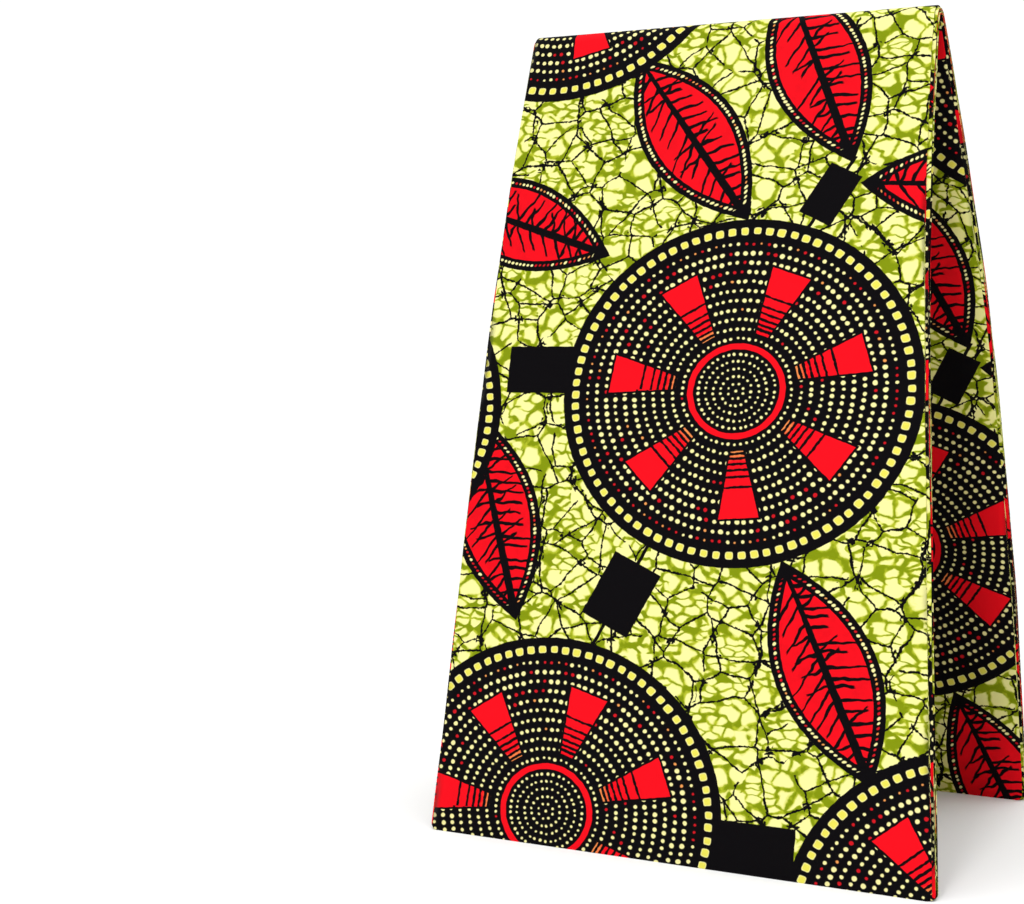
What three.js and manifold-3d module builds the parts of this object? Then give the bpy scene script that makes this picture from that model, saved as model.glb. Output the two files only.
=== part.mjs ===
// A length of wax print cloth, folded into a long flat strip and draped over itself so that it stands like a tent.
// Millimetres, +Z up. The front fall faces -Y. The origin is the middle of the footprint, on the surface it stands on.
import * as THREE from "three";
import Module from "manifold-3d";
import { mergeVertices } from "three/addons/utils/BufferGeometryUtils.js";

// The folded strip: five leaves lie on each other, and each leaf is the cloth's width folded in four.
const RIDGE_WIDTH = 280;
const RIDGE_HEIGHT = 524;
const RIDGE_RADIUS = 9;
const LEAF = 1.3;
const SEAM_GAP = 0.3;
const HIDDEN_LEAVES = 3;
const HIDDEN_THICKNESS = 4.0;

// Each fall goes down from the ridge: how far its foot reaches out, how it leans at the ridge and at the foot,
// and how much wider than the ridge the strip has fanned out at the foot, on the left and on the right.
const FALLS = {
  front: { side: -1, reach: 120, ridgeLean: 18, footLean: 11, fanLeft: 14, fanRight: 42 },
  rear: { side: 1, reach: 158, ridgeLean: 30, footLean: 3.4, fanLeft: 14, fanRight: 17 },
};
const HANDLE = 0.36; // a fall's curve handles, as a share of its chord
const FAN_POWER = 1.15; // above 1 the strip fans out more near the foot
const PILLOW = 1.6; // how far the middle of a fall swells out of its plane

// How far each leaf's folded edges stand out past the outer leaf's, on the left and on the right.
const OUTER_EDGE = { left: 0, right: 0 };
const HIDDEN_EDGES = [
  { left: 0.9, right: 1.4 },
  { left: 2.0, right: 2.5 },
  { left: 0.3, right: 1.7 },
];
const INNER_EDGE = { left: -0.6, right: 0.2 };
const GROOVE = 0.5; // how deep the line between two leaves is cut into the side

// How finely the walls are divided.
const FALL_STEPS = 15;
const RIDGE_STEPS = 9;
const ACROSS = 8;
const EDGE_STEPS = 4;

const BELOW_FLOOR = 3; // the strip runs on below the floor before its foot is cut flat
const CLOTH_COLOUR = 0xc4cf4a;
const HIDDEN_COLOUR = 0x8a1720;

const radians = THREE.MathUtils.degToRad;
const edgeSpread = (key) => Math.max(...HIDDEN_EDGES.map((edge) => edge[key]));
const widest = (key) => Math.max(FALLS.front[key], FALLS.rear[key]);

// The ridge lies off the middle of the footprint, because the falls reach and fan out unequally.
const RIDGE_X = (widest("fanLeft") + edgeSpread("left") - widest("fanRight") - edgeSpread("right")) / 2;
const RIDGE_Y = (FALLS.front.reach - FALLS.rear.reach) / 2;

// The stations down one fall, from the ridge to below the floor: a place, its outward normal and how far down it is.
function fallStations(fall) {
  const lean = radians(fall.ridgeLean);
  const footLean = radians(fall.footLean);
  const start = new THREE.Vector2(
    RIDGE_Y + fall.side * RIDGE_RADIUS * Math.cos(lean),
    RIDGE_HEIGHT - RIDGE_RADIUS + RIDGE_RADIUS * Math.sin(lean),
  );
  const foot = new THREE.Vector2(RIDGE_Y + fall.side * fall.reach, 0);
  const handle = HANDLE * start.distanceTo(foot);
  const startWay = new THREE.Vector2(fall.side * Math.sin(lean), -Math.cos(lean));
  const footWay = new THREE.Vector2(fall.side * Math.sin(footLean), -Math.cos(footLean));
  const curve = new THREE.CubicBezierCurve(
    start,
    start.clone().addScaledVector(startWay, handle),
    foot.clone().addScaledVector(footWay, -handle),
    foot,
  );
  const stations = [];
  for (let i = 0; i <= FALL_STEPS; i++) {
    const down = i / FALL_STEPS;
    const way = curve.getTangentAt(down);
    const place = curve.getPointAt(down);
    stations.push({ fall, down, place, normal: new THREE.Vector2(-fall.side * way.y, fall.side * way.x) });
  }
  const last = stations[FALL_STEPS];
  stations.push({ ...last, place: last.place.clone().addScaledVector(footWay, BELOW_FLOOR) });
  return stations;
}

// The stations over the ridge, an arc between the tops of the two falls.
function ridgeStations() {
  const from = Math.PI - radians(FALLS.front.ridgeLean);
  const to = radians(FALLS.rear.ridgeLean);
  const stations = [];
  for (let i = 1; i < RIDGE_STEPS; i++) {
    const angle = THREE.MathUtils.lerp(from, to, i / RIDGE_STEPS);
    const normal = new THREE.Vector2(Math.cos(angle), Math.sin(angle));
    const centre = new THREE.Vector2(RIDGE_Y, RIDGE_HEIGHT - RIDGE_RADIUS);
    stations.push({ fall: FALLS.front, down: 0, place: centre.addScaledVector(normal, RIDGE_RADIUS), normal });
  }
  return stations;
}

const STATIONS = [...fallStations(FALLS.front).reverse(), ...ridgeStations(), ...fallStations(FALLS.rear)];

// The left and right edges of the outer leaf at a station.
function edgesAt({ fall, down }) {
  const fanned = down ** FAN_POWER;
  return {
    left: RIDGE_X - RIDGE_WIDTH / 2 - fall.fanLeft * fanned,
    right: RIDGE_X + RIDGE_WIDTH / 2 + fall.fanRight * fanned,
  };
}

// The point of a station at x, so deep under the outer face.
function pointAt(station, x, depth) {
  const { left, right } = edgesAt(station);
  const across = THREE.MathUtils.clamp((2 * (x - left)) / (right - left) - 1, -1, 1);
  const swell = PILLOW * (1 - across * across) * Math.sin(Math.PI * station.down);
  const out = swell - depth;
  return new THREE.Vector3(x, station.place.x + station.normal.x * out, station.place.y + station.normal.y * out);
}

// The outline of a stack of leaves across one station, as x and depth: each leaf's side is a half-round fold.
function outline(station, leaves) {
  const edges = edgesAt(station);
  const side = (leaf, key, sign) => {
    const radius = (leaf.to - leaf.from) / 2;
    return { radius, x: edges[key] + sign * (leaf[key] - radius), depth: (leaf.from + leaf.to) / 2 };
  };
  const flat = (leaf, depth, from, to) => {
    const ends = { left: side(leaf, "left", -1).x, right: side(leaf, "right", 1).x };
    return Array.from({ length: ACROSS + 1 }, (_, i) => {
      const x = THREE.MathUtils.lerp(ends[from], ends[to], i / ACROSS);
      return new THREE.Vector2(x, depth);
    });
  };
  const folds = (stack, key, sign, turn) =>
    stack.flatMap((leaf, k) => {
      const { radius, x, depth } = side(leaf, key, sign);
      const points = [];
      for (let i = 1; i < EDGE_STEPS; i++) {
        const angle = turn * Math.PI * (i / EDGE_STEPS - 0.5);
        points.push(new THREE.Vector2(x + sign * radius * Math.cos(angle), depth + radius * Math.sin(angle)));
      }
      if (k < stack.length - 1) {
        const next = side(stack[k + 1], key, sign);
        const inner = sign * Math.min(sign * x, sign * next.x) - sign * GROOVE;
        points.push(new THREE.Vector2(inner, turn > 0 ? leaf.to : leaf.from));
      }
      return points;
    });
  const first = leaves[0];
  const last = leaves[leaves.length - 1];
  return [
    ...flat(first, first.from, "left", "right"),
    ...folds(leaves, "right", 1, 1),
    ...flat(last, last.to, "right", "left"),
    ...folds([...leaves].reverse(), "left", -1, -1),
  ];
}

// A closed wall through the outlines at all stations.
function wall(leaves) {
  const outlines = STATIONS.map((station) => outline(station, leaves));
  const count = outlines[0].length;
  const positions = STATIONS.flatMap((station, k) =>
    outlines[k].flatMap(({ x, y }) => pointAt(station, x, y).toArray()),
  );
  const faces = [];
  for (let k = 0; k < STATIONS.length - 1; k++)
    for (let i = 0; i < count; i++) {
      const a = k * count + i;
      const b = k * count + ((i + 1) % count);
      faces.push(a, b, b + count, a, b + count, a + count);
    }
  const lastStart = (STATIONS.length - 1) * count;
  for (const [a, b, c] of THREE.ShapeUtils.triangulateShape(outlines[0], [])) faces.push(a, c, b);
  for (const [a, b, c] of THREE.ShapeUtils.triangulateShape(outlines[STATIONS.length - 1], []))
    faces.push(lastStart + a, lastStart + b, lastStart + c);
  const geometry = new THREE.BufferGeometry();
  geometry.setAttribute("position", new THREE.Float32BufferAttribute(positions, 3));
  geometry.setIndex(faces);
  return geometry;
}

const wasm = await Module();
wasm.setup();

function toSolid(geometry) {
  const bare = new THREE.BufferGeometry();
  bare.setAttribute("position", geometry.getAttribute("position"));
  bare.setIndex(geometry.index);
  const merged = mergeVertices(bare, 1e-4);
  return new wasm.Manifold(
    new wasm.Mesh({
      numProp: 3,
      vertProperties: new Float32Array(merged.attributes.position.array),
      triVerts: new Uint32Array(merged.index.array),
    }),
  );
}

// The wall with its feet cut flat where they stand.
function standing(leaves) {
  const size = 2 * RIDGE_HEIGHT;
  const floor = new THREE.BoxGeometry(size, size, size).translate(0, 0, -size / 2);
  const cut = toSolid(wall(leaves)).subtract(toSolid(floor)).getMesh();
  const geometry = new THREE.BufferGeometry();
  geometry.setAttribute("position", new THREE.Float32BufferAttribute(cut.vertProperties, 3));
  geometry.setIndex([...cut.triVerts]);
  geometry.computeVertexNormals();
  return geometry;
}

function clothMaterial(color) {
  return new THREE.MeshStandardMaterial({ color, roughness: 0.8, metalness: 0, side: THREE.DoubleSide });
}

function leafMesh(name, leaves, color) {
  const mesh = new THREE.Mesh(standing(leaves), clothMaterial(color));
  mesh.name = name;
  return mesh;
}

const hiddenStart = LEAF + SEAM_GAP;
const hiddenLeaf = HIDDEN_THICKNESS / HIDDEN_LEAVES;
const hiddenRows = HIDDEN_EDGES.map((edge, k) => ({
  ...edge,
  from: hiddenStart + k * hiddenLeaf,
  to: hiddenStart + (k + 1) * hiddenLeaf,
}));
const innerStart = hiddenStart + HIDDEN_THICKNESS + SEAM_GAP;

const cloth = new THREE.Group();
cloth.name = "draped_wax_print_cloth";
cloth.add(leafMesh("outer_leaf", [{ ...OUTER_EDGE, from: 0, to: LEAF }], CLOTH_COLOUR));
cloth.add(leafMesh("hidden_leaves", hiddenRows, HIDDEN_COLOUR));
cloth.add(leafMesh("inner_leaf", [{ ...INNER_EDGE, from: innerStart, to: innerStart + LEAF }], CLOTH_COLOUR));

export default cloth;
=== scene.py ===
"""A length of wax print cloth, folded into a long strip and draped over itself, so that it stands."""

import logging
import math
from dataclasses import dataclass, field, replace
from enum import Enum
from typing import Callable, ClassVar, Union

import bpy
from bpy.types import Material, Node, NodeTree, Object, World
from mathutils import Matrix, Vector


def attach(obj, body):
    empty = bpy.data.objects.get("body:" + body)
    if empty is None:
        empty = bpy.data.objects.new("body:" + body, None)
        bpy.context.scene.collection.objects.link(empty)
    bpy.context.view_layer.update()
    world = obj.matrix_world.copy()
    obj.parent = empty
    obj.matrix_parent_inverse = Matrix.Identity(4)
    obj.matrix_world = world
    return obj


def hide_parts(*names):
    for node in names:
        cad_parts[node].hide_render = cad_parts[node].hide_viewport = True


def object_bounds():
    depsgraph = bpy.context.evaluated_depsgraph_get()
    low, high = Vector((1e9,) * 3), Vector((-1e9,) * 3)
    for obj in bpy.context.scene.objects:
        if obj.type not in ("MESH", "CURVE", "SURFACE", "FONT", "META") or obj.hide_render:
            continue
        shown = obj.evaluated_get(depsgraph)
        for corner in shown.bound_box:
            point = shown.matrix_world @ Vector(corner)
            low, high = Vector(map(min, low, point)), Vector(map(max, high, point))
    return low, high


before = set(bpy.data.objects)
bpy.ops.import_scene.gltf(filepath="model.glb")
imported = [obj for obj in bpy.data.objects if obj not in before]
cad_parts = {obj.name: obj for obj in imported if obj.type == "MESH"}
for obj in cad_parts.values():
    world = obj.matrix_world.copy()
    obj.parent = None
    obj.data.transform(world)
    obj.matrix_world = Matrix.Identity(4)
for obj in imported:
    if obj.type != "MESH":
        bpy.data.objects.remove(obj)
CAD_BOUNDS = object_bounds()

LOG = logging.getLogger("wax_print_cloth")
MM = 0.001
UV_NAME = "cloth"
BODY = "root"
Socket = bpy.types.NodeSocket
Triple = tuple[float, float, float]
Pair = tuple[float, float]


def placed(name: str, data: object) -> Object:
    """Makes an object of some data and adds it to the scene.

    Args:
        name: The object's name.
        data: The mesh, lamp or camera that it shows.

    Returns:
        The object, at the origin.
    """
    thing = bpy.data.objects.new(name, data)
    bpy.context.scene.collection.objects.link(thing)
    return thing


class Dye(Enum):
    """The colours of the print, as the cloth shows them."""

    PAPER = "f6f3a0"
    LEMON = "dfe26c"
    LIME = "b3bd2a"
    MOSS = "82930c"
    DOT = "f4eda4"
    SQUARE = "ebe359"
    ORANGE = "ec9a52"
    RED = "f40d1d"
    DOT_RED = "cf1620"
    DEEP_RED = "b80a18"
    BLACK = "080609"

    @property
    def linear(self) -> tuple[float, float, float, float]:
        """The colour in linear light, with full alpha."""
        parts = [int(self.value[i : i + 2], 16) / 255 for i in (0, 2, 4)]
        light = [c / 12.92 if c <= 0.04045 else ((c + 0.055) / 1.055) ** 2.4 for c in parts]
        return (light[0], light[1], light[2], 1.0)


class Side(Enum):
    """A long edge of the strip, with its direction along X."""

    LEFT = -1
    RIGHT = 1


@dataclass(frozen=True)
class Fall:
    """One side of the tent, from the ridge down to its foot. Millimetres and degrees."""

    side: int
    reach: float
    ridge_lean: float
    foot_lean: float
    fan_left: float
    fan_right: float

    def fan(self, side: Side) -> float:
        """How much wider than the ridge the strip is at the foot, on that side."""
        return self.fan_left if side is Side.LEFT else self.fan_right


@dataclass(frozen=True)
class Station:
    """A place on the strip's outer profile, with what a leaf's outline needs there."""

    fall: Fall
    down: float
    place: Vector
    out: Vector
    into: Vector
    along: float


@dataclass
class Tent:
    """The draped strip's outer profile and edges, in millimetres, as in the solid model."""

    ridge_width: float = 280.0
    ridge_height: float = 524.0
    ridge_radius: float = 9.0
    front: Fall = field(default_factory=lambda: Fall(-1, 120.0, 18.0, 11.0, 14.0, 42.0))
    rear: Fall = field(default_factory=lambda: Fall(1, 158.0, 30.0, 3.4, 14.0, 17.0))
    handle: float = 0.36
    fan_power: float = 1.15
    pillow: float = 1.6
    softness: float = 0.55
    proud_edge: float = 2.0
    fall_steps: int = 84
    ridge_steps: int = 26
    foot_blend: float = 22.0
    foot_steps: tuple[float, ...] = (7.0, 5.0, 3.6, 2.4, 1.4, 0.7, 0.3, 0.0)
    corner: float = 4.0

    def __post_init__(self) -> None:
        """Places the ridge from the solid model's box, and works out the stations."""
        low = CAD_BOUNDS[0]
        self.ridge_x = low[0] / MM + self.front.fan_left + self.proud_edge + self.ridge_width / 2
        self.ridge_y = low[1] / MM + self.front.reach
        self.stations = self._stations()

    def _curve(self, fall: Fall, t: float) -> tuple[Vector, Vector]:
        """Gives a fall's point and direction at t, from 0 at the ridge to 1 at the foot.

        Args:
            fall: The fall.
            t: The curve's parameter.

        Returns:
            The point and the unit direction down the fall, both as (Y, Z).
        """
        lean, foot_lean = math.radians(fall.ridge_lean), math.radians(fall.foot_lean)
        radius = self.ridge_radius
        start_y = self.ridge_y + fall.side * radius * math.cos(lean)
        start = Vector((start_y, self.ridge_height - radius + radius * math.sin(lean)))
        foot = Vector((self.ridge_y + fall.side * fall.reach, 0.0))
        handle = self.handle * (foot - start).length
        first = start + handle * Vector((fall.side * math.sin(lean), -math.cos(lean)))
        second = foot - handle * Vector((fall.side * math.sin(foot_lean), -math.cos(foot_lean)))
        u = 1 - t
        point = u**3 * start + 3 * u * u * t * first + 3 * u * t * t * second + t**3 * foot
        way = u * u * (first - start) + 2 * u * t * (second - first) + t * t * (foot - second)
        return point, way.normalized()

    def _fall(self, fall: Fall) -> list[Station]:
        """Works out the stations of one fall, from the ridge to the foot.

        Args:
            fall: The fall.

        Returns:
            The stations, closer together near the foot.
        """
        fine = 1200
        samples = [self._curve(fall, i / fine) for i in range(fine + 1)]
        lengths = [0.0]
        for (a, _), (b, _) in zip(samples, samples[1:]):
            lengths.append(lengths[-1] + (b - a).length)
        total = lengths[-1]
        near_foot = self.foot_steps[0]
        wanted = [total * i / self.fall_steps for i in range(self.fall_steps)]
        wanted = [w for w in wanted if w < total - near_foot - 1] + [total - up for up in self.foot_steps]
        stations, k = [], 0
        for along in wanted:
            while k < fine and lengths[k + 1] < along:
                k += 1
            share = min(1.0, (along - lengths[k]) / max(lengths[min(k + 1, fine)] - lengths[k], 1e-9))
            point, way = self._curve(fall, min(1.0, (k + share) / fine))
            out = Vector((-fall.side * way.y, fall.side * way.x))
            level = Vector((-fall.side / max(abs(way.y), 0.5), 0.0))
            blend = max(0.0, 1 - point.y / self.foot_blend)
            blend = blend * blend * (3 - 2 * blend)
            into = (-out).lerp(level, blend)
            stations.append(Station(fall, along / total, point, out, into, -fall.side * along))
        return stations

    def _stations(self) -> list[Station]:
        """Works out all stations, from the front foot over the ridge to the rear foot."""
        lean_front, lean_rear = math.radians(self.front.ridge_lean), math.radians(self.rear.ridge_lean)
        start, end = math.pi - lean_front, lean_rear
        centre = Vector((self.ridge_y, self.ridge_height - self.ridge_radius))
        arc = self.ridge_radius * (start - end)
        top = self.ridge_radius * (start - math.pi / 2)
        ridge = []
        for i in range(1, self.ridge_steps):
            share = i / self.ridge_steps
            angle = start + (end - start) * share
            out = Vector((math.cos(angle), math.sin(angle)))
            place = centre + self.ridge_radius * out
            ridge.append(Station(self.front, 0.0, place, out, -out, top - arc * share))
        front = [replace(s, along=s.along + top) for s in reversed(self._fall(self.front))]
        rear = [replace(s, along=s.along + (top - arc)) for s in self._fall(self.rear)]
        return front + ridge + rear

    def edge(self, station: Station, side: Side) -> float:
        """Gives the outer leaf's edge, as X.

        Args:
            station: Where on the strip.
            side: Which long edge.

        Returns:
            The edge's X in millimetres, with the rounded corner at the foot.
        """
        fanned = station.fall.fan(side) * station.down**self.fan_power
        return self.ridge_x + side.value * (self.ridge_width / 2 + fanned - self.corner_cut(station))

    def corner_cut(self, station: Station) -> float:
        """How far the rounded corner at the foot draws an edge in."""
        up = min(station.place.y, self.corner)
        return self.corner - math.sqrt(self.corner**2 - (self.corner - up) ** 2)

    def point(self, station: Station, x: float, depth: float) -> Triple:
        """Gives a point of the strip in metres.

        Args:
            station: Where along the strip.
            x: Where across it, in millimetres.
            depth: How deep under the outer face, in millimetres.

        Returns:
            The point in the part's frame.
        """
        left, right = self.edge(station, Side.LEFT), self.edge(station, Side.RIGHT)
        across = max(-1.0, min(1.0, (2 * (x - left)) / (right - left) - 1))
        fade = math.sin(math.pi * station.down)
        swell = self.pillow * (1 - across * across) * fade
        ripple = math.sin(x / 37 + 0.8 * math.sin(station.along / 61)) * math.sin(station.along / 47 + 1.3)
        ripple += 0.5 * math.sin(x / 19 - station.along / 71 + 2.1)
        out = swell + self.softness * ripple * min(1.0, 1.6 * fade)
        place = station.place + station.out * out + station.into * depth
        return (x * MM, place.x * MM, place.y * MM)


@dataclass
class Leaf:
    """One leaf of the folded strip: four plies of cloth, a closed wall with soft folds along its sides."""

    name: str
    node: str
    slot: str
    tent: Tent
    depth: float
    thickness: float
    edge_left: float
    edge_right: float
    face_is_outer: bool
    print_shift: Pair
    print_way: int = 1
    across: int = 60
    folds: int = 2
    fold_steps: int = 6
    waver: float = 0.3
    waver_lengths: Pair = (43.0, 17.0)
    calm_foot: float = 12.0
    print_jump: float = 61.0

    def _edge_out(self, side: Side, fold: int, station: Station) -> float:
        """How far a fold stands out past the outer leaf's edge, wavering a little along the strip."""
        phase = 1.7 * fold + 2.9 * self.depth + side.value
        long_wave, short_wave = (station.along / length for length in self.waver_lengths)
        wave = math.sin(long_wave + phase) + 0.6 * math.sin(short_wave + 2.3 * phase)
        return self._base(side) + self.waver * wave * min(1.0, station.place.y / self.calm_foot)

    def _outline(self, station: Station) -> list[Triple]:
        """Works out the leaf's outline across one station.

        Args:
            station: Where on the strip.

        Returns:
            Points as X, depth and distance across the cloth, all in millimetres.
        """
        tent = self.tent
        radius = self.thickness / self.folds / 2
        ends = {side: tent.edge(station, side) + side.value * (self._base(side) - radius) for side in Side}
        squash = self._foot_squash(station)
        middle = self.depth + self.thickness / 2
        points: list[Triple] = []

        def face(depth: float, from_side: Side, to_side: Side, main: bool) -> None:
            """Adds a flat face of the leaf, from one long edge to the other."""
            for i in range(self.across + 1):
                share = i / self.across
                x = ends[from_side] + (ends[to_side] - ends[from_side]) * share
                u = x - tent.ridge_x
                if not main:
                    nearer = from_side if share < 0.5 else to_side
                    u = 2 * (ends[nearer] - tent.ridge_x) - u + nearer.value * math.pi * radius
                points.append((x, middle + (depth - middle) * squash, u))

        def fold_edge(side: Side) -> None:
            """Adds the soft folds along one long edge."""
            order = range(self.folds) if side is Side.RIGHT else reversed(range(self.folds))
            for fold in order:
                centre = self.depth + radius * (2 * fold + 1)
                x = ends[side] + side.value * (self._edge_out(side, fold, station) - self._base(side))
                rank = fold if self.face_is_outer else self.folds - 1 - fold
                for i in range(1, self.fold_steps):
                    turn = math.pi * (i / self.fold_steps - 0.5) * side.value
                    bulge = radius * math.cos(turn)
                    depth = centre + radius * math.sin(turn)
                    from_face = turn if self.face_is_outer else -turn
                    arc = radius * (from_face + math.pi / 2)
                    u = ends[side] - tent.ridge_x + side.value * (arc + self.print_jump * rank)
                    points.append((x + side.value * bulge, middle + (depth - middle) * squash, u))

        face(self.depth, Side.LEFT, Side.RIGHT, self.face_is_outer)
        fold_edge(Side.RIGHT)
        face(self.depth + self.thickness, Side.RIGHT, Side.LEFT, not self.face_is_outer)
        fold_edge(Side.LEFT)
        return points

    def _base(self, side: Side) -> float:
        """How far the leaf's folds stand out past the outer leaf's edge, on the whole."""
        return self.edge_left if side is Side.LEFT else self.edge_right

    @staticmethod
    def _foot_squash(station: Station) -> float:
        """Thins the leaf over its last half millimetre, so that the foot's edges are rounded."""
        reach = 0.5
        up = min(station.place.y, reach) / reach
        return 0.55 + 0.45 * math.sqrt(1 - (1 - up) ** 2)

    def mesh(self) -> Object:
        """Builds the leaf's wall with its cloth coordinates.

        Returns:
            The new object, at the origin.
        """
        stations = self.tent.stations
        rows = [self._outline(station) for station in stations]
        count = len(rows[0])
        vertices, cloth = [], []
        for station, row in zip(stations, rows):
            along = self.print_way * station.along + self.print_shift[1]
            for x, depth, u in row:
                vertices.append(self.tent.point(station, x, depth))
                cloth.append(((u + self.print_shift[0]) * MM, along * MM))
        faces = []
        for k in range(len(stations) - 1):
            for i in range(count):
                a, b = k * count + i, k * count + (i + 1) % count
                faces.append((a, b, b + count, a + count))
        last = (len(stations) - 1) * count
        for polygon in self._cap():
            faces.append(tuple(reversed(polygon)))
            faces.append(tuple(last + i for i in polygon))
        mesh = bpy.data.meshes.new(self.name)
        mesh.from_pydata(vertices, [], faces)
        layer = mesh.uv_layers.new(name=UV_NAME)
        for loop in mesh.loops:
            layer.data[loop.index].uv = cloth[loop.vertex_index]
        mesh.polygons.foreach_set("use_smooth", [True] * len(mesh.polygons))
        mesh.update()
        return placed(self.name, mesh)

    def _cap(self) -> list[tuple[int, ...]]:
        """Works out the foot's flat faces, as indices into one outline.

        Returns:
            Quads between the two faces, and one polygon for the folds at each side.
        """
        n, side_points = self.across, self.folds * (self.fold_steps - 1)
        back = n + 1 + side_points
        quads = [(i, i + 1, back + n - i - 1, back + n - i) for i in range(n)]
        right = tuple(range(n, back + 1))
        left = tuple(range(back + n, back + n + 1 + side_points)) + (0,)
        return quads + [right, left]

    def dress(self, piece: Object, finish: Material) -> None:
        """Gives the piece its material, its body and its place in the model.

        Args:
            piece: The leaf's object.
            finish: The printed cloth.
        """
        if not piece.data.materials:
            piece.data.materials.append(finish)
        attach(piece, BODY)
        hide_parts(self.node)
        LOG.info("%s: %d faces", self.name, len(piece.data.polygons))

    def flat_size(self, leaves: int = 1) -> Pair:
        """The leaf's flat size as it lies in the strip, width and length in metres."""
        stations = self.tent.stations
        widths = [self.tent.edge(s, Side.RIGHT) - self.tent.edge(s, Side.LEFT) for s in stations]
        length = stations[0].along - stations[-1].along
        return (round(sum(widths) / len(widths) * MM, 3), round(leaves * length * MM, 3))


@dataclass
class LeafStack(Leaf):
    """The leaves hidden inside the strip, which show only at its sides: one leaf, repeated inwards."""

    leaves: int = 3
    pitch: float = 1.333
    spread: float = 1.1
    seed: int = 4
    finish: Union[Material, None] = None
    print_step: Triple = (0.083, 0.147, 0.0)
    input_kinds: ClassVar[dict[str, str]] = {
        "Geometry": "Geometry",
        "Leaves": "Int",
        "Pitch": "Float",
        "Spread": "Float",
        "Seed": "Int",
        "Finish": "Material",
    }

    def mesh(self) -> Object:
        """Builds one leaf and repeats it inwards with Geometry Nodes.

        Returns:
            The stack as one plain mesh.
        """
        piece = super().mesh()
        self._mark(piece)
        tree = self._tree()
        modifier = piece.modifiers.new("stack", "NODES")
        modifier.node_group = tree
        values = {
            "Leaves": self.leaves,
            "Pitch": self.pitch * MM,
            "Spread": self.spread * MM,
            "Seed": self.seed,
            "Finish": self.finish,
        }
        for item in tree.interface.items_tree:
            if item.name in values:
                modifier[item.identifier] = values[item.name]
        bpy.context.view_layer.update()
        evaluated = piece.evaluated_get(bpy.context.evaluated_depsgraph_get())
        plain = bpy.data.meshes.new_from_object(evaluated)
        piece.modifiers.remove(modifier)
        piece.data = plain
        plain.name = self.name
        return piece

    def _mark(self, piece: Object) -> None:
        """Stores on each point which way is deeper, and how far out towards an edge it lies."""
        deeper: list[float] = []
        outwards: list[float] = []
        count = len(piece.data.vertices) // len(self.tent.stations)
        for k, station in enumerate(self.tent.stations):
            left, right = self.tent.edge(station, Side.LEFT), self.tent.edge(station, Side.RIGHT)
            for vertex in piece.data.vertices[k * count : (k + 1) * count]:
                deeper += (0.0, station.into.x, station.into.y)
                outwards.append(2 * (vertex.co.x / MM - left) / (right - left) - 1)
        for name, kind, key, values in (
            ("deeper", "FLOAT_VECTOR", "vector", deeper),
            ("outwards", "FLOAT", "value", outwards),
        ):
            piece.data.attributes.new(name, kind, "POINT")
            piece.data.attributes[name].data.foreach_set(key, values)

    def _tree(self) -> NodeTree:
        """Writes the tree that repeats the leaf inwards, each with its own small shift at the sides.

        Returns:
            The Geometry Nodes tree.
        """
        tree = bpy.data.node_groups.new("leaf stack", "GeometryNodeTree")
        for name, kind in self.input_kinds.items():
            tree.interface.new_socket(name, in_out="INPUT", socket_type=f"NodeSocket{kind}")
        tree.interface.new_socket("Geometry", in_out="OUTPUT", socket_type="NodeSocketGeometry")
        pen = Pen(tree)
        given = pen.node("NodeGroupInput").outputs

        line = pen.step("GeometryNodeMeshLine", {"Count": given["Leaves"], "Offset": (0.0, 0.0, 0.0)})
        number = pen.node("GeometryNodeInputIndex").outputs[0]
        places = self._store(pen, "leaf", "INT", "POINT", line.outputs["Mesh"], number)
        copies = pen.step("GeometryNodeInstanceOnPoints", {"Points": places, "Instance": given["Geometry"]})
        real = pen.step("GeometryNodeRealizeInstances", {"Geometry": copies.outputs["Instances"]})

        leaf = self._read(pen, "leaf", "INT")
        inputs = {"ID": leaf, "Seed": given["Seed"], 2: -1.0, 3: 1.0}
        chance = pen.step("FunctionNodeRandomValue", inputs, data_type="FLOAT")
        depth = pen.math("MULTIPLY", leaf, given["Pitch"])
        inwards = pen.scaled(self._read(pen, "deeper", "FLOAT_VECTOR"), depth)
        spread = pen.math("MULTIPLY", chance.outputs[1], given["Spread"])
        sideways = pen.math("MULTIPLY", spread, self._read(pen, "outwards", "FLOAT"))
        offset = pen.vector("ADD", inwards, pen.pair(sideways, 0.0))
        moved = pen.step("GeometryNodeSetPosition", {"Geometry": real.outputs["Geometry"], "Offset": offset})

        shift = pen.scaled(self.print_step, leaf)
        cloth = pen.vector("ADD", self._read(pen, UV_NAME, "FLOAT_VECTOR"), shift)
        stored = self._store(pen, UV_NAME, "FLOAT2", "CORNER", moved.outputs["Geometry"], cloth)
        plain = pen.step("GeometryNodeRealizeInstances", {"Geometry": stored}).outputs["Geometry"]
        dressed = pen.step("GeometryNodeSetMaterial", {"Geometry": plain, "Material": given["Finish"]})
        pen.put(pen.node("NodeGroupOutput").inputs["Geometry"], dressed.outputs["Geometry"])
        return tree

    @staticmethod
    def _store(pen: "Pen", name: str, kind: str, domain: str, geometry: Socket, value: Socket) -> Socket:
        """Stores a named attribute, and gives the geometry that holds it."""
        inputs = {"Geometry": geometry, "Name": name, "Value": value}
        node = pen.step("GeometryNodeStoreNamedAttribute", inputs, data_type=kind, domain=domain)
        return node.outputs["Geometry"]

    @staticmethod
    def _read(pen: "Pen", name: str, kind: str) -> Socket:
        """Reads a named attribute."""
        node = pen.step("GeometryNodeInputNamedAttribute", {"Name": name}, data_type=kind)
        return node.outputs["Attribute"]


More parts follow.
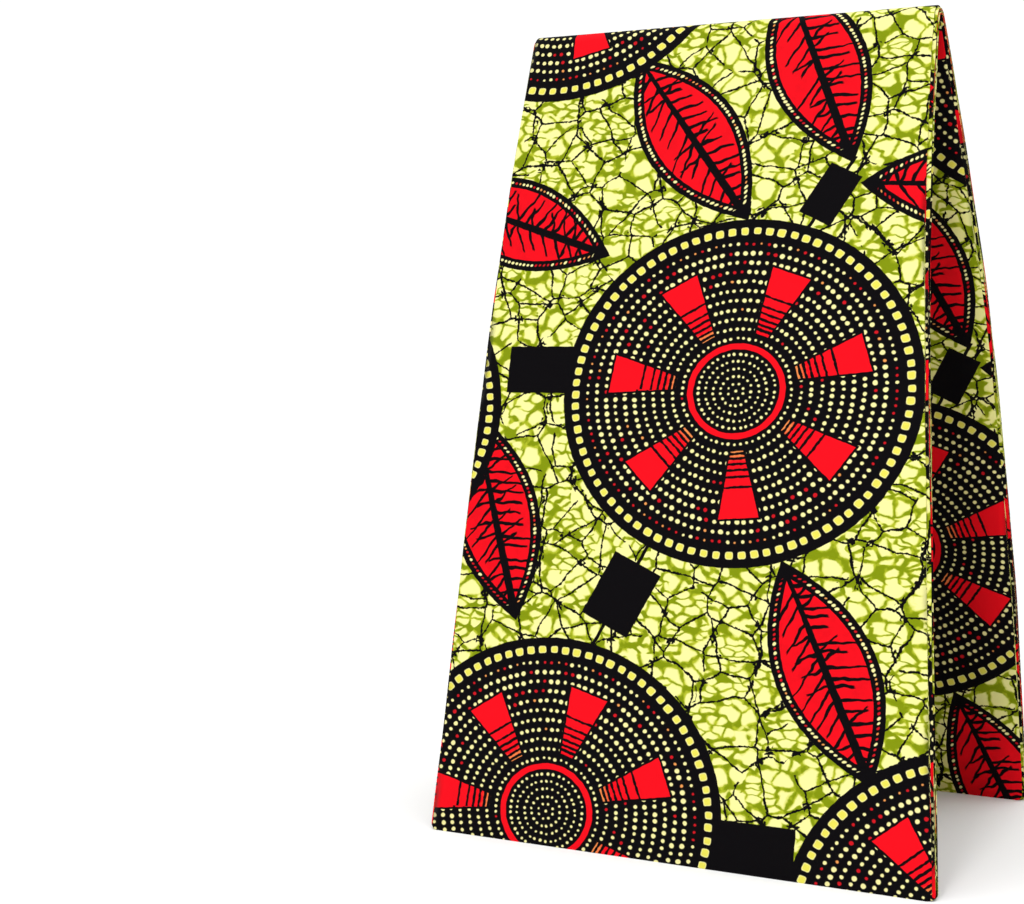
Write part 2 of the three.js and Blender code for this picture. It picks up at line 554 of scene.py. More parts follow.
def operator(operation: str, swapped: bool = False) -> Callable[..., "Num"]:
    """Makes a method of Num that adds one step of arithmetic.

    Args:
        operation: The Math node's operation.
        swapped: Whether the number itself comes last.

    Returns:
        The method, with no other number or with one.
    """

    def operate(number: "Num", *others: "Number") -> "Num":
        """Works out the operation with the number and the others."""
        values = (*others, number) if swapped else (number, *others)
        return number.pen.math(operation, *values)

    return operate


@dataclass
class Num:
    """A number that a node tree works out at each point. Its arithmetic adds nodes to the tree."""

    pen: "Pen"
    socket: Socket

    __add__ = operator("ADD")
    __radd__ = operator("ADD", swapped=True)
    __sub__ = operator("SUBTRACT")
    __rsub__ = operator("SUBTRACT", swapped=True)
    __mul__ = operator("MULTIPLY")
    __rmul__ = operator("MULTIPLY", swapped=True)
    __truediv__ = operator("DIVIDE")
    __abs__ = operator("ABSOLUTE")
    floor = operator("FLOOR")
    part = operator("FRACT")


Number = Union[Num, float]
Ink = Union[Socket, Dye]
Inputs = dict[Union[str, int], object]


class Pen:
    """Writes arithmetic, textures and inks into one node tree."""

    def __init__(self, tree: NodeTree) -> None:
        """Takes the tree to write into."""
        self.tree = tree

    def node(self, kind: str) -> Node:
        """Adds a node."""
        return self.tree.nodes.new(kind)

    def fill(self, node: Node, inputs: Inputs) -> Node:
        """Fills a node's inputs and gives the node."""
        for key, value in inputs.items():
            self.put(node.inputs[key], value)
        return node

    def step(self, kind: str, inputs: Inputs, **options: object) -> Node:
        """Adds a node, sets its options and fills its inputs.

        Args:
            kind: The node's type.
            inputs: What goes into its inputs, by their names or numbers.
            options: The node's own settings.

        Returns:
            The node.
        """
        node = self.node(kind)
        for name, value in options.items():
            setattr(node, name, value)
        return self.fill(node, inputs)

    def put(self, socket: Socket, value: object) -> None:
        """Sets a socket to a plain value or ink, or links it."""
        if isinstance(value, Num):
            self.tree.links.new(value.socket, socket)
        elif isinstance(value, Dye):
            socket.default_value = value.linear
        elif isinstance(value, Socket):
            self.tree.links.new(value, socket)
        else:
            socket.default_value = value

    def math(self, operation: str, *values: Number, clamp: bool = False) -> Num:
        """Adds one step of arithmetic.

        Args:
            operation: The Math node's operation.
            values: Its inputs, in order.
            clamp: Whether to keep the result from 0 to 1.

        Returns:
            The result.
        """
        inputs = dict(enumerate(values))
        node = self.step("ShaderNodeMath", inputs, operation=operation, use_clamp=clamp)
        return Num(self, node.outputs[0])

    def least(self, a: Number, b: Number) -> Num:
        """The smaller of two."""
        return self.math("MINIMUM", a, b)

    def most(self, a: Number, b: Number) -> Num:
        """The larger of two."""
        return self.math("MAXIMUM", a, b)

    def below(self, a: Number, b: Number) -> Num:
        """1 where a is less than b, and 0 elsewhere."""
        return self.math("LESS_THAN", a, b)

    def cover(self, distance: Num, soft: float = 0.25) -> Num:
        """1 inside a shape and 0 outside, from its signed distance in millimetres, with a soft edge."""
        return self.math("MULTIPLY_ADD", distance, -1 / soft, 0.5, clamp=True)

    def ramp(self, value: Number, low: float, high: float, to_low: float = 0.0, to_high: float = 1.0) -> Num:
        """Maps a range smoothly onto another, and stays within it.

        Args:
            value: The number to map.
            low: Where the range starts.
            high: Where it ends.
            to_low: The result at the start.
            to_high: The result at the end.

        Returns:
            The mapped number.
        """
        inputs = dict(enumerate((value, low, high, to_low, to_high)))
        node = self.step("ShaderNodeMapRange", inputs, interpolation_type="SMOOTHSTEP")
        return Num(self, node.outputs[0])

    def pair(self, x: Number, y: Number, z: Number = 0.0) -> Socket:
        """Joins numbers into a vector."""
        return self.step("ShaderNodeCombineXYZ", {0: x, 1: y, 2: z}).outputs[0]

    def split(self, vector: Socket) -> tuple[Num, Num]:
        """Gives a vector's X and Y."""
        parts = self.step("ShaderNodeSeparateXYZ", {0: vector}).outputs
        return Num(self, parts[0]), Num(self, parts[1])

    def vector(self, operation: str, *values: object) -> Socket:
        """Adds one step of vector arithmetic and gives its vector."""
        return self.step("ShaderNodeVectorMath", dict(enumerate(values)), operation=operation).outputs[0]

    def scaled(self, vector: Union[Socket, Triple], by: object) -> Socket:
        """A vector times a number."""
        return self.step("ShaderNodeVectorMath", {0: vector, "Scale": by}, operation="SCALE").outputs[0]

    def length(self, vector: Socket) -> Num:
        """A vector's length."""
        node = self.step("ShaderNodeVectorMath", {0: vector}, operation="LENGTH")
        return Num(self, node.outputs["Value"])

    def turned(self, vector: Socket, degrees: float) -> Socket:
        """Turns a vector in its plane."""
        inputs = {"Vector": vector, "Angle": math.radians(degrees)}
        return self.step("ShaderNodeVectorRotate", inputs, rotation_type="Z_AXIS").outputs[0]

    def chance(self, a: Number, b: Number, seed: float) -> Num:
        """A random number from 0 to 1 for each pair of whole numbers."""
        node = self.step("ShaderNodeTexWhiteNoise", {"Vector": self.pair(a, b, seed)}, noise_dimensions="3D")
        return Num(self, node.outputs["Value"])

    def noise(self, vector: Socket, size: float, detail: float = 1.0) -> Node:
        """Adds a soft noise whose blotches are about that many millimetres across."""
        inputs = {"Vector": vector, "Scale": 1 / size, "Detail": detail}
        return self.step("ShaderNodeTexNoise", inputs, noise_dimensions="2D")

    def level(self, vector: Socket, size: float, detail: float = 1.0) -> Num:
        """The soft noise as one number, about 0.5 on average."""
        return Num(self, self.noise(vector, size, detail).outputs[0])

    def wobble(self, vector: Socket, size: float, amount: float) -> Socket:
        """Shifts a vector by a soft noise, up to about that many millimetres."""
        shift = self.vector("SUBTRACT", self.noise(vector, size).outputs[1], (0.5, 0.5, 0.5))
        scaled = self.vector("MULTIPLY", shift, (2 * amount, 2 * amount, 0.0))
        return self.vector("ADD", vector, scaled)

    def cells(self, vector: Socket, size: float, feature: str) -> Num:
        """A cell pattern's distance in millimetres, to the cell edges or to its points."""
        inputs = {"Vector": vector, "Scale": 1 / size}
        node = self.step("ShaderNodeTexVoronoi", inputs, voronoi_dimensions="2D", feature=feature)
        return Num(self, node.outputs["Distance"]) * size

    def blend(self, factor: Number, under: Ink, over: Ink) -> Socket:
        """Lays one ink over another."""
        return self.step("ShaderNodeMix", {0: factor, 6: under, 7: over}, data_type="RGBA").outputs[2]

    def choose(self, factor: Number, first: Socket, second: Socket) -> Socket:
        """Gives the first vector where the factor is 0, and the second where it is 1."""
        return self.step("ShaderNodeMix", {0: factor, 4: first, 5: second}, data_type="VECTOR").outputs[1]


@dataclass(frozen=True)
class DottedDisc:
    """The large round motif: rings of dots on black, red wedges, a red ring and a hub. Millimetres."""

    radius: float = 109.5
    square_ring: float = 101.8
    squares: int = 84
    square_width: float = 2.35
    square_height: float = 2.3
    first_ring: float = 33.2
    ring_pitch: float = 6.05
    outer_ring: float = 93.7
    hub_radius: float = 26.0
    hub_pitch: float = 4.7
    red_ring: float = 28.2
    red_ring_half: float = 1.8
    wedges: int = 7
    wedge_turn: float = 0.36
    wedge_from: float = 37.5
    wedge_to: float = 79.0
    wedge_half_from: float = 3.9
    wedge_half_to: float = 12.2
    wedge_outline: float = 1.4
    tinted_near_rim: float = 0.33
    # These pairs hold from the hub out to the rim.
    dot_spacing: Pair = (3.5, 4.6)
    dot_size: Pair = (0.82, 1.35)
    tinted_share: Pair = (0.02, 0.15)
    cut_half: Pair = (0.95, 0.8)
    wedge_lines: tuple[float, ...] = (39.2, 42.2, 45.6, 49.4, 53.6, 60.0)

    def draw(self, pen: Pen, place: Socket) -> tuple[Socket, Num]:
        """Draws the motif.

        Args:
            pen: What writes the nodes.
            place: The place relative to the motif's centre.

        Returns:
            The motif's ink, and its signed distance.
        """
        x, y = pen.split(place)
        r = pen.length(place)
        turn = pen.math("ARCTAN2", y, x) / math.tau + 0.5
        ink = self._dots(pen, r, turn)
        ink = self._wedges(pen, r, turn, ink)
        ink = pen.blend(pen.cover(abs(r - self.red_ring) - self.red_ring_half), ink, Dye.RED)
        ink = self._squares(pen, r, turn, ink)
        return ink, r - self.radius

    def _dots(self, pen: Pen, r: Num, turn: Num) -> Socket:
        """Draws the rings of dots, in the hub and around it."""
        hub = pen.below(r, self.hub_radius)
        base = (1 - hub) * self.first_ring
        pitch = hub * (self.hub_pitch - self.ring_pitch) + self.ring_pitch
        ring = pen.most(((r - base) / pitch + 0.5).floor(), 0.0)
        ring_radius = ring * pitch + base
        around = ring_radius * math.tau
        spacing = pen.ramp(ring_radius, 12.0, 88.0, *self.dot_spacing)
        count = pen.most(pen.math("ROUND", around / spacing), 1.0)
        step = turn * count
        key = ring + hub * 40.0
        luck = pen.chance(step.floor(), key, 1.0)
        fate = pen.chance(step.floor(), key, 2.0)
        outermost = pen.below(self.outer_ring - self.ring_pitch / 2, ring_radius)
        share = pen.ramp(ring_radius, 60.0, 88.0, *self.tinted_share) + outermost * self.tinted_near_rim
        tinted = pen.below(fate, share) * (1 - hub)
        sideways = (step.part() - 0.5 + (fate - 0.5) * 0.2) * (around / count)
        outwards = r - ring_radius + (luck - 0.5) * 0.6
        size = pen.ramp(ring_radius, 10.0, 85.0, *self.dot_size) * (0.74 + luck * 0.4)
        size = size * (1 - tinted * 0.2 - outermost * 0.22)
        dot = pen.math("SQRT", sideways * sideways + outwards * outwards) - size
        tint = pen.blend(pen.below(luck, 0.3), Dye.DOT_RED, Dye.ORANGE)
        colour = pen.blend(tinted, Dye.DOT, tint)
        in_rings = pen.below(r, self.outer_ring + self.ring_pitch / 2)
        return pen.blend(pen.cover(dot, 0.45) * in_rings, Dye.BLACK, colour)

    def _wedges(self, pen: Pen, r: Num, turn: Num, ink: Socket) -> Socket:
        """Draws the red wedges, solid outside and cut by black lines towards the hub."""
        sector = turn * float(self.wedges) + self.wedge_turn
        luck = pen.chance(sector.floor(), 3.0, 5.0)
        angle = (sector.part() - 0.5) * (math.tau / self.wedges)
        outwards = r * pen.math("COSINE", angle)
        sideways = abs(r * pen.math("SINE", angle))
        slope = (self.wedge_half_to - self.wedge_half_from) / (self.wedge_to - self.wedge_from)
        half = (outwards - self.wedge_from) * slope + self.wedge_half_from
        within = abs(outwards - (self.wedge_from + self.wedge_to) / 2) - (self.wedge_to - self.wedge_from) / 2
        shape = pen.most(sideways - half, within)
        ink = pen.blend(pen.cover(shape - self.wedge_outline), ink, Dye.BLACK)
        uneven = pen.level(pen.pair(outwards + luck * 40.0, sideways), 3.0)
        shifted = outwards + (luck - 0.5) * 2.4
        line: Number = 99.0
        for place in self.wedge_lines:
            line = pen.least(line, abs(shifted - place))
        cut = line - pen.ramp(outwards, self.wedge_from, 56.0, *self.cut_half) * (0.45 + uneven)
        glow = pen.ramp(outwards + uneven * 3.0, 40.0, 45.0, 0.8, 0.0)
        lit = pen.blend(glow * pen.below(0.3, luck), Dye.RED, Dye.ORANGE)
        red = pen.blend(pen.cover(cut), lit, Dye.BLACK)
        return pen.blend(pen.cover(shape), ink, red)

    def _squares(self, pen: Pen, r: Num, turn: Num, ink: Socket) -> Socket:
        """Draws the ring of soft yellow squares near the rim."""
        step = turn * float(self.squares)
        luck = pen.chance(step.floor(), 7.0, 3.0)
        sideways = (step.part() - 0.5 + (luck - 0.5) * 0.08) * (math.tau * self.square_ring / self.squares)
        outwards = r - self.square_ring + (luck - 0.5) * 0.35
        size = 0.92 + luck * 0.16
        u, v = sideways / self.square_width, outwards / self.square_height
        shape = pen.math("POWER", u * u * u * u + v * v * v * v, 0.25) - size
        fill = pen.blend(pen.ramp(shape, -0.35, 0.0), Dye.SQUARE, Dye.DOT)
        return pen.blend(pen.cover(shape, 0.14), ink, fill)


@dataclass(frozen=True)
class PrintedLeaf:
    """The red leaf: a black outline that holds a row of dots, a midrib and side veins. Millimetres."""

    length: float = 142.0
    half_width: float = 30.0
    dot_row: float = 3.9
    dot_pitch: float = 2.7
    red_inset: float = 7.0
    pitch_left: float = 9.6
    pitch_right: float = 7.4
    lean_left: float = 0.8
    lean_right: float = 0.32
    crossing_lean: float = 0.75
    crossing_share: float = 0.42
    rib_half: Pair = (1.3, 2.5)
    vein_half: Pair = (1.1, 0.58)
    smallest_dot: float = 0.6
    row_reach: float = 0.85
    shortest_vein: float = 10.0
    vein_variety: float = 22.0

    def draw(self, pen: Pen, place: Socket, number: Number) -> tuple[Socket, Num]:
        """Draws the motif.

        Args:
            pen: What writes the nodes.
            place: The place relative to the leaf's middle, with Y along it.
            number: Which leaf it is, so that each has its own veins.

        Returns:
            The motif's ink, and its signed distance.
        """
        x, y = pen.split(place)
        t = y / (self.length / 2)
        slope = t * (4 * self.half_width / self.length)
        steep = pen.math("SQRT", 1 + slope * slope)
        shape = (abs(x) - (1 - t * t) * self.half_width) / steep
        right = pen.below(0.0, x)

        veins = self._veins(pen, x, y, right, number)
        red = pen.blend(pen.ramp(pen.level(place, 9.0, 3.0), 0.3, 0.75, 0.0, 0.22), Dye.RED, Dye.DEEP_RED)
        ink = pen.blend(pen.cover(shape + self.red_inset), Dye.BLACK, red)
        ink = pen.blend(veins, ink, Dye.BLACK)
        rib = abs(x) - pen.ramp(y, -self.length / 2, self.length / 4, *self.rib_half)
        ink = pen.blend(pen.cover(rib), ink, Dye.BLACK)

        step = y / self.dot_pitch + right * 0.5
        luck = pen.chance(step.floor(), right + number * 3.0, 11.0)
        along = (step.part() - 0.5) * self.dot_pitch * steep
        across = shape + self.dot_row
        dot = pen.math("SQRT", along * along + across * across) - (self.smallest_dot + luck * 0.5)
        open_row = pen.below(abs(t), self.row_reach)
        tint = pen.blend(pen.below(luck, 0.16), Dye.DOT_RED, Dye.ORANGE)
        colour = pen.blend(pen.below(luck, 0.4), Dye.DOT, tint)
        ink = pen.blend(pen.cover(dot, 0.4) * open_row, ink, colour)
        return ink, shape

    def _veins(self, pen: Pen, x: Num, y: Num, right: Num, number: Number) -> Num:
        """Works out where the side veins are: the main ones, and thinner ones that cross them."""
        out = abs(x)
        bend = pen.level(pen.pair(x, y + number * 31.0), 9.0) - 0.5
        lean = right * (self.lean_right - self.lean_left) + self.lean_left
        pitch = right * (self.pitch_right - self.pitch_left) + self.pitch_left
        key = right + number * 5.0
        main = self._vein_set(pen, out, y + bend * 3.2 - out * lean, pitch, key, 17.0, 1.0)
        root = y + bend * 4.5 - out * (lean - self.crossing_lean)
        crossing = self._vein_set(pen, out, root, pitch, key, 29.0, self.crossing_share)
        return pen.most(main, crossing)

    def _vein_set(
        self, pen: Pen, out: Num, root: Num, pitch: Num, key: Number, seed: float, share: float
    ) -> Num:
        """Draws one vein to each pitch along the midrib, of its own length and width.

        Args:
            pen: What writes the nodes.
            out: How far the point is from the midrib.
            root: Where on the midrib a vein through the point would start.
            pitch: How far apart the veins are.
            key: Which leaf and side it is.
            seed: A number of the set's own.
            share: How many of the veins are there.

        Returns:
            1 on a vein and 0 elsewhere.
        """
        step = root / pitch + key * 0.37
        luck = pen.chance(step.floor(), key, seed)
        fate = pen.chance(step.floor(), key, seed + 2.0)
        across = abs(step.part() - 0.5 - (luck - 0.5) * 0.5) * (pitch * 0.86)
        width = pen.ramp(out, 0.0, 24.0, *self.vein_half) * (0.7 + share * 0.3)
        reach = self.shortest_vein + luck * self.vein_variety * share
        return pen.cover(across - width) * pen.cover(out - reach, 1.0) * pen.below(fate, share)


@dataclass(frozen=True)
class CrackleGround:
    """The ground: pale cells between green veins, crossed by a beaded black crackle. Millimetres."""

    web: float = 31.0
    second_web: float = 28.0
    large_cell: float = 12.0
    small_cell: float = 9.6
    small_flat: float = 1.9
    bead: float = 2.2
    line_width: float = 1.15
    ring_cell: float = 8.0
    ring_radius: float = 1.8
    roundness: float = 0.68
    green_half: Pair = (0.55, 1.5)

    def draw(self, pen: Pen, place: Socket) -> Socket:
        """Draws the ground's ink.

        Args:
            pen: What writes the nodes.
            place: The place on the cloth.

        Returns:
            The ink.
        """
        rough = pen.wobble(place, 1.9, 0.45)
        bent = pen.wobble(rough, 15.0, 2.2)
        web = pen.cells(bent, self.web, "DISTANCE_TO_EDGE")
        shifted = pen.vector("ADD", bent, (311.0, 173.0, 0.0))
        gaps = pen.ramp(pen.level(place, 15.0), 0.3, 0.34, 3.0, 0.0)
        second = pen.cells(shifted, self.second_web, "DISTANCE_TO_EDGE") + gaps
        beads = pen.level(place, self.bead)
        ink = self._cells(pen, place, pen.least(web, second))

        rings = abs(pen.cells(bent, self.ring_cell, "F1") - self.ring_radius) - beads * 1.9
        knot = pen.most(pen.most(web, second) - 2.6, rings)
        lines = pen.math("SMOOTH_MIN", web, second + 0.06, 1.8) - (beads * self.line_width + 0.06)
        return pen.blend(pen.cover(pen.least(lines, knot), 0.3), ink, Dye.BLACK)

    def _cells(self, pen: Pen, place: Socket, web: Num) -> Socket:
        """Draws the pale cells and the green between them, large in places and flat and small in others."""
        soft = pen.wobble(pen.wobble(place, 9.0, 2.0), 2.6, 0.4)
        flat = pen.vector("MULTIPLY", soft, (1.0, self.small_flat, 0.0))
        large = self._blob(pen, soft, self.large_cell)
        small = self._blob(pen, flat, self.small_cell)
        where = pen.ramp(pen.level(place, 26.0), 0.47, 0.55)
        blob = large + where * (small - large)
        patches = pen.level(place, 21.0, 2.0)
        width = pen.ramp(patches, 0.36, 0.66, *self.green_half) + pen.ramp(web, 0.0, 4.0, 0.2, 0.0)
        green = pen.ramp(blob - width, -0.22, 0.28, 1.0, 0.0)
        pale = pen.blend(pen.ramp(blob - width, 0.0, 1.15), Dye.LEMON, Dye.PAPER)
        tone = pen.level(place, 5.0, 2.0) + (width - blob) * 0.16
        return pen.blend(green, pale, pen.blend(pen.ramp(tone, 0.35, 0.72), Dye.LIME, Dye.MOSS))

    def _blob(self, pen: Pen, place: Socket, size: float) -> Num:
        """How far inside a rounded cell a point lies, in cells of about that many millimetres."""
        edge = pen.cells(place, size, "DISTANCE_TO_EDGE")
        return pen.math("SMOOTH_MIN", edge, size * self.roundness - pen.cells(place, size, "F1"), 1.2)


@dataclass(frozen=True)
class DiscPlace:
    """Where a disc lies, relative to the first one, and how many degrees it is turned."""

    x: float
    y: float
    turn: float = 0.0


@dataclass(frozen=True)
class LeafPlace:
    """Where a printed leaf lies, relative to the first disc."""

    x: float
    y: float
    angle: float


@dataclass(frozen=True)
class BarPlace(LeafPlace):
    """Where a black bar lies, with half its width and length and how far its stem reaches."""

    half_width: float
    half_length: float
    stem: float = 0.0


@dataclass(frozen=True)
class PrintLayout:
    """The whole print: discs with bars and leaves between them, all on one slanting repeat. Millimetres."""

    disc: DottedDisc = DottedDisc()
    leaf: PrintedLeaf = PrintedLeaf()
    ground: CrackleGround = CrackleGround()
    stretch: float = 1.1
    first_disc: Pair = (33.6, 250.0)
    across: float = 523.0
    along: float = 619.0
    drift: float = -223.0
    discs: tuple[DiscPlace, ...] = (
        DiscPlace(0.0, 0.0),
        DiscPlace(-98.0, 270.0, 4.0),
        DiscPlace(159.0, 313.0, 10.0),
        DiscPlace(262.0, 20.0, -20.0),
    )
    leaves: tuple[LeafPlace, ...] = (
        LeafPlace(-44.6, -166.2, 53.6),
        LeafPlace(28.8, -209.6, 67.0),
        LeafPlace(65.2, 167.0, 65.0),
        LeafPlace(133.0, -127.0, 3.0),
        LeafPlace(-154.8, -111.8, 20.0),
        LeafPlace(-149.2, 83.6, 73.0),
        LeafPlace(290.0, 176.0, 70.0),
        LeafPlace(240.0, -170.0, 100.0),
    )
    bars: tuple[BarPlace, ...] = (
        BarPlace(45.3, -124.2, 118.0, 10.8, 17.6, 27.0),
        BarPlace(-61.0, 130.0, 115.0, 16.6, 22.0, 42.0),
        BarPlace(-127.0, -12.3, 90.0, 22.0, 15.4),
        BarPlace(127.0, -7.0, 90.0, 22.0, 15.4),
        BarPlace(31.7, 276.5, 90.0, 23.0, 15.6),
    )
    stem_half: float = 1.1

    def draw(self, pen: Pen, cloth: Socket) -> Socket:
        """Draws the whole print.

        Args:
            pen: What writes the nodes.
            cloth: The place on the cloth in millimetres, across it and along it.

        Returns:
            The print's ink.
        """
        unstretched = pen.vector("MULTIPLY", cloth, (1 / self.stretch, 1.0, 0.0))
        steady = pen.wobble(unstretched, 5.0, 0.35)
        place = pen.vector("SUBTRACT", steady, (self.first_disc[0], self.first_disc[1], 0.0))
        ink = self.ground.draw(pen, unstretched)
        ink = self._bars(pen, place, ink)
        ink = self._leaves(pen, place, ink)
        return self._discs(pen, place, ink)

    def _discs(self, pen: Pen, place: Socket, ink: Socket) -> Socket:
        """Draws the discs."""
        copies = [self._near(pen, place, disc.x, disc.y, disc.turn) for disc in self.discs]
        local, _ = self._nearest(pen, copies, (1.0, 1.0, 0.0))
        drawn, distance = self.disc.draw(pen, local)
        return pen.blend(pen.cover(distance), ink, drawn)

    def _leaves(self, pen: Pen, place: Socket, ink: Socket) -> Socket:
        """Draws the leaves."""
        copies = [self._near(pen, place, leaf.x, leaf.y, 90.0 - leaf.angle) for leaf in self.leaves]
        local, number = self._nearest(pen, copies, (1 / self.leaf.half_width, 2 / self.leaf.length, 0.0))
        drawn, distance = self.leaf.draw(pen, local, number)
        return pen.blend(pen.cover(distance), ink, drawn)

    def _bars(self, pen: Pen, place: Socket, ink: Socket) -> Socket:
        """Draws the black bars, the slanting ones with their thin stems."""
        for bar in self.bars:
            x, y = pen.split(self._near(pen, place, bar.x, bar.y, 90.0 - bar.angle))
            shape = pen.most(abs(x) - bar.half_width, abs(y) - bar.half_length)
            if bar.stem:
                shape = pen.least(shape, pen.most(abs(x) - self.stem_half, abs(y) - bar.stem))
            ink = pen.blend(pen.cover(shape), ink, Dye.BLACK)
        return ink

    def _near(self, pen: Pen, place: Socket, x: float, y: float, turn: float) -> Socket:
        """Gives the place relative to the nearest copy of a motif, turned so that Y runs along it."""
        from_x, from_y = pen.split(pen.vector("SUBTRACT", place, (x, y, 0.0)))
        repeats = (from_y / self.along + 0.5).floor()
        near_x = pen.math("WRAP", from_x - repeats * self.drift, self.across / 2, -self.across / 2)
        return pen.turned(pen.pair(near_x, from_y - repeats * self.along), turn)

    @staticmethod
    def _nearest(pen: Pen, copies: list[Socket], scale: Triple) -> tuple[Socket, Number]:
        """Picks the nearest of several motifs.

        Args:
            pen: What writes the nodes.
            copies: The place relative to each motif.
            scale: What X and Y are multiplied by before distances are compared.

        Returns:
            The place relative to the nearest motif, and that motif's number.
        """
        local, number = copies[0], 0.0
        least: Number = pen.length(pen.vector("MULTIPLY", local, scale))
        for k, copy in enumerate(copies[1:], start=1):
            far = pen.length(pen.vector("MULTIPLY", copy, scale))
            closer = pen.below(far, least)
            local = pen.choose(closer, local, copy)
            number = closer * (float(k) - number) + number
            least = pen.least(far, least)
        return local, number


@dataclass(frozen=True)
class PrintedCotton:
    """The cloth's finish: the print on a close plain weave, matt with a faint sheen."""

    layout: PrintLayout = PrintLayout()
    roughness: float = 0.82
    sheen: float = 0.02
    sheen_roughness: float = 0.45
    gloss: float = 0.06
    weave_pitch: float = 0.55
    weave_height: float = 0.05
    weave_strength: float = 0.35
    slackness: float = 6.0

    def print_group(self) -> NodeTree:
        """Writes the print as one node group that takes the cloth's place in millimetres."""
        tree = bpy.data.node_groups.new("wax print", "ShaderNodeTree")
        tree.interface.new_socket("Place", in_out="INPUT", socket_type="NodeSocketVector")
        tree.interface.new_socket("Ink", in_out="OUTPUT", socket_type="NodeSocketColor")
        pen = Pen(tree)
        given, result = pen.node("NodeGroupInput"), pen.node("NodeGroupOutput")
        pen.put(result.inputs[0], self.layout.draw(pen, given.outputs[0]))
        return tree

    def material(self, name: str, group: NodeTree) -> Material:
        """Makes a material of the printed cloth.

        Args:
            name: The material's name.
            group: The print's node group.

        Returns:
            The material.
        """
        material = bpy.data.materials.new(name)
        material.use_nodes = True
        pen = Pen(material.node_tree)
        where = pen.step("ShaderNodeUVMap", {}, uv_map=UV_NAME)
        cloth = pen.vector("MULTIPLY", where.outputs[0], (1 / MM, 1 / MM, 0.0))
        finish = {
            "Base Color": pen.step("ShaderNodeGroup", {0: cloth}, node_tree=group).outputs[0],
            "Roughness": self.roughness,
            "Sheen Weight": self.sheen,
            "Sheen Roughness": self.sheen_roughness,
            "Specular IOR Level": self.gloss,
            "Normal": self._weave(pen, cloth),
        }
        pen.fill(material.node_tree.nodes["Principled BSDF"], finish)
        return material

    def _weave(self, pen: Pen, cloth: Socket) -> Socket:
        """Works out the weave's bump: threads over and under each other, a little uneven."""
        u, v = pen.split(pen.wobble(cloth, 3.0, 0.12))
        turn = math.tau / self.weave_pitch
        threads = pen.math("SINE", u * turn) * pen.math("SINE", v * turn)
        height = threads + pen.level(cloth, 18.0, 2.0) * self.slackness
        bump = {"Strength": self.weave_strength, "Distance": self.weave_height * MM, "Height": height}
        return pen.step("ShaderNodeBump", bump).outputs[0]


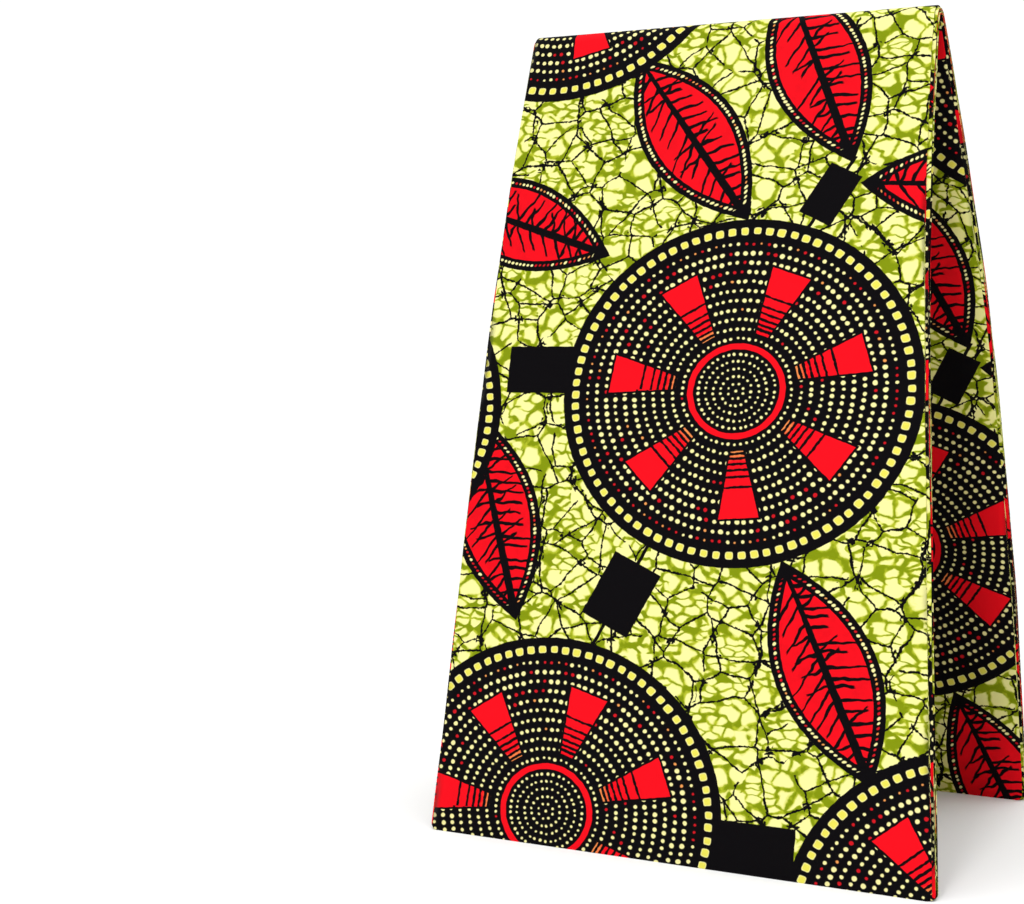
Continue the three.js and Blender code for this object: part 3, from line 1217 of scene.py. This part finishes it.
@dataclass
class Studio:
    """The plain pale floor, the soft light and the camera."""

    tent: Tent
    lens: float = 70.6
    sensor: float = 36.0
    stand: Triple = (0.5373, -1.2121, -0.1999)
    turn: float = 30.0
    tilt: float = 3.45
    room_light: float = 0.03
    backdrop_light: float = 1.05
    overhead_light: float = 3.45
    overhead_spread: float = 55.0
    key_place: Triple = (0.38, -2.4, 0.95)
    key_aim: Triple = (0.0, 0.0, 0.25)
    key_size: float = 0.45
    key_power: float = 24.5
    floor_half: float = 9.0
    floor_white: float = 0.93

    def floor(self) -> None:
        """Lays a wide white floor."""
        mesh = bpy.data.meshes.new("studio_floor")
        half = self.floor_half
        corners = [(-half, -half, 0), (half, -half, 0), (half, half, 0), (-half, half, 0)]
        mesh.from_pydata(corners, [], [(0, 1, 2, 3)])
        white = bpy.data.materials.new("white floor")
        white.use_nodes = True
        paint = {"Base Color": (*[self.floor_white] * 3, 1.0), "Roughness": 0.9, "Specular IOR Level": 0.0}
        Pen(white.node_tree).fill(white.node_tree.nodes["Principled BSDF"], paint)
        mesh.materials.append(white)
        placed("studio_floor", mesh)

    def lights(self) -> None:
        """Hangs the soft lights, in a white room."""
        world = bpy.data.worlds.new("white room")
        bpy.context.scene.world = world
        world.use_nodes = True
        self._white_backdrop(world)
        self._overhead()
        self._key()

    def _overhead(self) -> None:
        """Lights the whole floor evenly from above, with soft shadows under the feet."""
        data = bpy.data.lights.new("overhead", "SUN")
        data.energy = self.overhead_light
        data.angle = math.radians(self.overhead_spread)
        placed("overhead", data)

    def _white_backdrop(self, world: World) -> None:
        """Shows a white backdrop behind the cloth, and lights the cloth with less of it."""
        pen = Pen(world.node_tree)
        seen = pen.node("ShaderNodeLightPath").outputs["Is Camera Ray"]
        inputs = {"Value": seen, "To Min": self.room_light, "To Max": self.backdrop_light}
        strength = pen.step("ShaderNodeMapRange", inputs).outputs[0]
        background = world.node_tree.nodes["Background"]
        pen.fill(background, {"Color": (1.0, 1.0, 1.0, 1.0), "Strength": strength})

    def _key(self) -> None:
        """Hangs one soft lamp in front, a little to the right."""
        data = bpy.data.lights.new("key", "AREA")
        data.size = self.key_size
        data.energy = self.key_power
        lamp = placed("key", data)
        lamp.location = self.key_place
        aim = Vector(self.key_aim) - Vector(self.key_place)
        lamp.rotation_euler = aim.to_track_quat("-Z", "Y").to_euler()

    def camera(self) -> None:
        """Sets the camera at the photograph's angle to the cloth."""
        data = bpy.data.cameras.new("camera")
        data.lens = self.lens
        data.sensor_width = self.sensor
        data.sensor_fit = "HORIZONTAL"
        data.dof.use_dof = False
        camera = placed("camera", data)
        ridge = Vector((self.tent.ridge_x, self.tent.ridge_y, self.tent.ridge_height)) * MM
        camera.location = ridge + Vector(self.stand)
        camera.rotation_euler = (math.radians(90 - self.tilt), 0.0, math.radians(self.turn))
        bpy.context.scene.camera = camera
        bpy.context.scene.view_settings.view_transform = "Standard"


def main() -> None:
    """Builds the leaves in order, dresses them and sets up the studio."""
    logging.basicConfig(level=logging.INFO, format="%(name)s: %(message)s")
    tent = Tent()
    cotton = PrintedCotton()
    group = cotton.print_group()

    outer = Leaf(
        "outer_leaf_print", "outer_leaf", "outer_print", tent,
        depth=0.0, thickness=1.3, edge_left=0.0, edge_right=0.0, face_is_outer=True,
        print_shift=(0.0, 0.0),
    )
    piece = outer.mesh()
    outer.dress(piece, cotton.material("outer print", group))
    outer.flat_size()

    edge_print = cotton.material("edge print", group)
    hidden = LeafStack(
        "hidden_leaves_print", "hidden_leaves", "edge_print", tent,
        depth=1.6, thickness=1.27, edge_left=1.0, edge_right=1.5, face_is_outer=True,
        print_shift=(95.0, 60.0), across=10, finish=edge_print,
    )
    stack = hidden.mesh()
    hidden.dress(stack, edge_print)
    hidden.flat_size(hidden.leaves)

    inner = Leaf(
        "inner_leaf_print", "inner_leaf", "inner_print", tent,
        depth=5.9, thickness=1.3, edge_left=-0.6, edge_right=0.2, face_is_outer=False,
        print_shift=(-34.0, -129.0), print_way=-1,
    )
    piece = inner.mesh()
    inner.dress(piece, cotton.material("inner print", group))
    inner.flat_size()

    studio = Studio(tent)
    studio.floor()
    studio.lights()
    studio.camera()
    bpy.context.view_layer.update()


if __name__ == "__main__":
    main()
